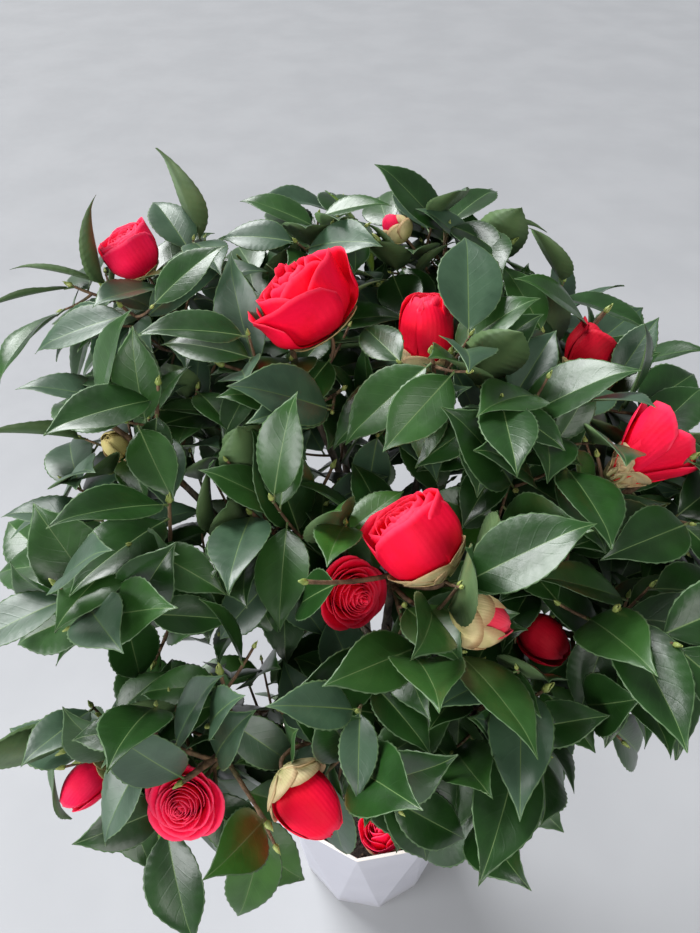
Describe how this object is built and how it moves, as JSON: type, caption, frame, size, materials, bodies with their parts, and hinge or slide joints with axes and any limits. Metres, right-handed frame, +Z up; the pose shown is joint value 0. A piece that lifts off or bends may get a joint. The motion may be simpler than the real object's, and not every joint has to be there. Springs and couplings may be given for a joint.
{
  "type": "camellia shrub",
  "caption": "Evergreen flowering shrub in a faceted planter: a short trunk forks into boughs that carry a rounded, leafy crown with large many-petalled blooms.",
  "frame": {"origin": "middle of the planter's flat underside", "axes": "+Z up along the trunk, -Y towards the picture's viewer, +X to the viewer's right"},
  "size_m": [0.7163, 0.6804, 1.0171],
  "materials": {
    "pot": "matt pale grey-white",
    "soil": "damp dark potting mix",
    "bark": "grey-brown bark",
    "foliage": "glossy dark evergreen leaf",
    "petal": "soft crimson petal"
  },
  "bodies": {
    "root": {"pot": "pot", "soil": "soil", "fallen_bloom": "petal", "trunk": "bark", "bough_back": "bark", "bough_left": "bark", "bough_right": "bark", "bough_front": "bark", "bough_low_left": "bark", "bough_middle": "bark", "bough_middle_left": "bark", "bough_back_left": "bark", "bough_left_front": "bark", "bough_low_front_left": "bark", "bough_low_front": "bark", "bough_low_front_right": "bark", "bough_right_front": "bark", "bough_right_back": "bark", "bough_back_right": "bark", "bough_low_right": "bark", "bough_low_back_left": "bark", "bough_low_back": "bark", "bough_low_back_right": "bark", "bough_inner_left": "bark", "bough_inner_right": "bark", "foliage_back": "foliage", "foliage_left": "foliage", "foliage_right": "foliage", "foliage_front": "foliage", "foliage_low_left": "foliage", "foliage_middle": "foliage", "foliage_middle_left": "foliage", "foliage_back_left": "foliage", "foliage_left_front": "foliage", "foliage_low_front_left": "foliage", "foliage_low_front": "foliage", "foliage_low_front_right": "foliage", "foliage_right_front": "foliage", "foliage_right_back": "foliage", "foliage_back_right": "foliage", "foliage_low_right": "foliage", "foliage_low_back_left": "foliage", "foliage_low_back": "foliage", "foliage_low_back_right": "foliage", "foliage_inner_left": "foliage", "foliage_inner_right": "foliage"}
  },
  "joints": []
}
